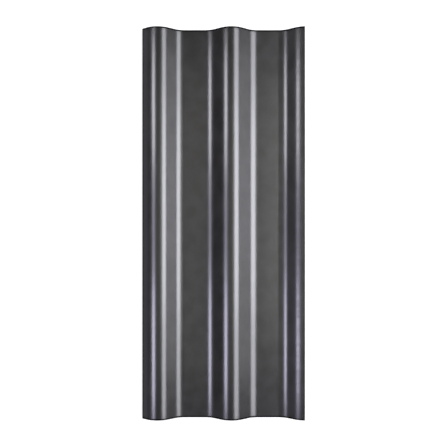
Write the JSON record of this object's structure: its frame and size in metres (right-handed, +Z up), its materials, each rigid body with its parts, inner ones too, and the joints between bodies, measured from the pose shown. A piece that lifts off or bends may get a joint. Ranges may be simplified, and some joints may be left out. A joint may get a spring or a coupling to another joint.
{
  "type": "fibre cement roof sheet",
  "caption": "Small-wave fibre cement roof sheet: wide flat valleys between rounded crests, with one covering and one covered side edge, coated dark graphite.",
  "frame": {"origin": "centre of the sheet's length and width, on the plane that the undersides of the valleys rest on", "axes": "+X across the waves towards the covered edge that ends on a crest, +Y along the waves, +Z up out of the weather face"},
  "size_m": [0.506, 1.22, 0.034],
  "materials": {
    "coated_fibre_cement": "dark graphite satin coating on fibre cement, faint lengthwise drag marks, darker raw edges"
  },
  "bodies": {
    "root": {"roof_sheet": "coated_fibre_cement"}
  },
  "joints": []
}
